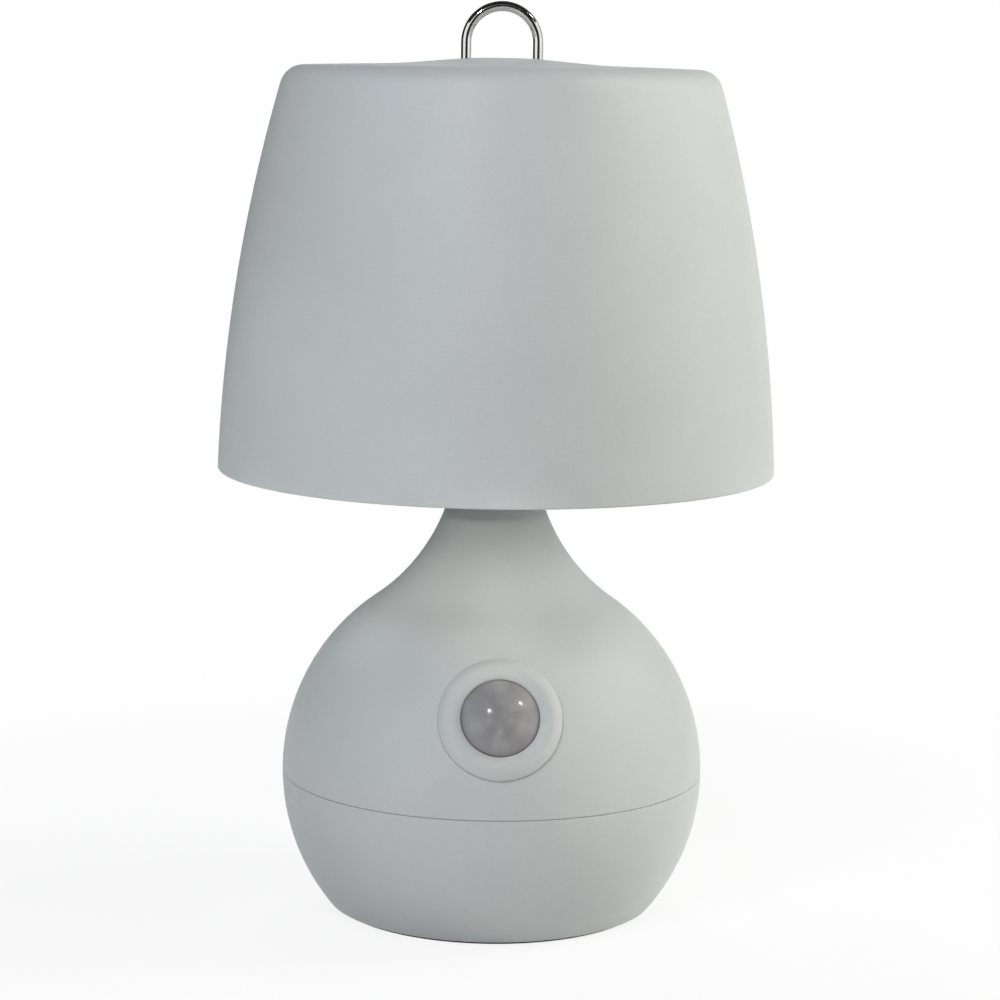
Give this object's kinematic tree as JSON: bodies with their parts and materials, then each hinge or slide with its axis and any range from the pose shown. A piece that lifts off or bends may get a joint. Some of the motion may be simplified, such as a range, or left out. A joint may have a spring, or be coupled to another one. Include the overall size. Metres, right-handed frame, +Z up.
{
  "type": "battery lantern",
  "caption": "Battery lantern shaped like a small table lamp: round base with a motion sensor window, tapered shade and a wire hanging loop that folds flat.",
  "frame": {"origin": "middle of the foot ring, on the surface that the lamp stands on", "axes": "+Z up along the axis of base and shade; -Y the way the sensor faces; +X to its right seen from the front"},
  "size_m": [0.14, 0.14, 0.2284],
  "materials": {
    "shell_plastic": "fine satin texture, pale cool grey",
    "foot_rubber": "dull",
    "screw_steel": "zinc plated",
    "inner_plastic": "moulded, undyed",
    "cell_sleeve": "plain shrink sleeve",
    "contact_steel": "nickel plated",
    "lens_plastic": "milky, segmented",
    "circuit_board": "solder mask",
    "sensor_can": "drawn can",
    "light_cell": "glazed",
    "black_plastic": "moulded",
    "capacitor_sleeve": "plain sleeve",
    "knob_plastic": "moulded, ribbed",
    "deck_plastic": "white, smooth",
    "white_board": "white solder mask",
    "led_resin": "clear dome over phosphor",
    "loop_steel": "polished nickel plate",
    "red_lead": "insulation",
    "black_lead": "insulation",
    "yellow_lead": "insulation"
  },
  "bodies": {
    "lamp": {"base_upper_shell": "shell_plastic", "base_lower_shell": "shell_plastic", "foot_ring": "foot_rubber", "base_screws": "screw_steel", "battery_tray": "inner_plastic", "tray_screws": "screw_steel", "battery_1": "cell_sleeve", "battery_2": "cell_sleeve", "battery_3": "cell_sleeve", "contact_spring_1": "contact_steel", "contact_spring_2": "contact_steel", "contact_spring_3": "contact_steel", "contact_link_front": "contact_steel", "contact_link_back": "contact_steel", "contact_terminal_front": "contact_steel", "contact_terminal_back": "contact_steel", "sensor_bezel": "shell_plastic", "sensor_lens": "lens_plastic", "lens_retainer": "inner_plastic", "sensor_board": "circuit_board", "sensor_screws": "screw_steel", "infrared_sensor": "sensor_can", "light_sensor": "light_cell", "timer_chip": "black_plastic", "capacitor_1": "capacitor_sleeve", "capacitor_2": "capacitor_sleeve", "switch_plate": "shell_plastic", "switch_body": "black_plastic", "switch_screws": "screw_steel", "lamp_deck": "deck_plastic", "deck_screws": "screw_steel", "led_board": "white_board", "led_1": "led_resin", "led_2": "led_resin", "led_3": "led_resin", "led_4": "led_resin", "led_5": "led_resin", "led_6": "led_resin", "shade": "shell_plastic", "shade_screws": "screw_steel", "battery_lead_red": "red_lead", "battery_lead_black": "black_lead", "switch_lead": "yellow_lead", "led_lead_red": "red_lead", "led_lead_black": "black_lead"},
    "loop": {"hang_loop": "loop_steel"},
    "door": {"battery_door": "shell_plastic"},
    "knob": {"switch_knob": "knob_plastic"}
  },
  "joints": [
    {"name": "loop_fold", "type": "hinge", "parent": "lamp", "child": "loop", "pos_m": [0, 0, 0.2118], "axis": [-1, 0, 0], "range_deg": [0, 90]},
    {"name": "door_hinge", "type": "hinge", "parent": "lamp", "child": "door", "pos_m": [0, -0.0275, 0.002], "axis": [-1, 0, 0], "range_deg": [0, 80]},
    {"name": "knob_slide", "type": "slide", "parent": "lamp", "child": "knob", "axis": [1, 0, 0], "range_m": [-0.0025, 0.0025]}
  ]
}
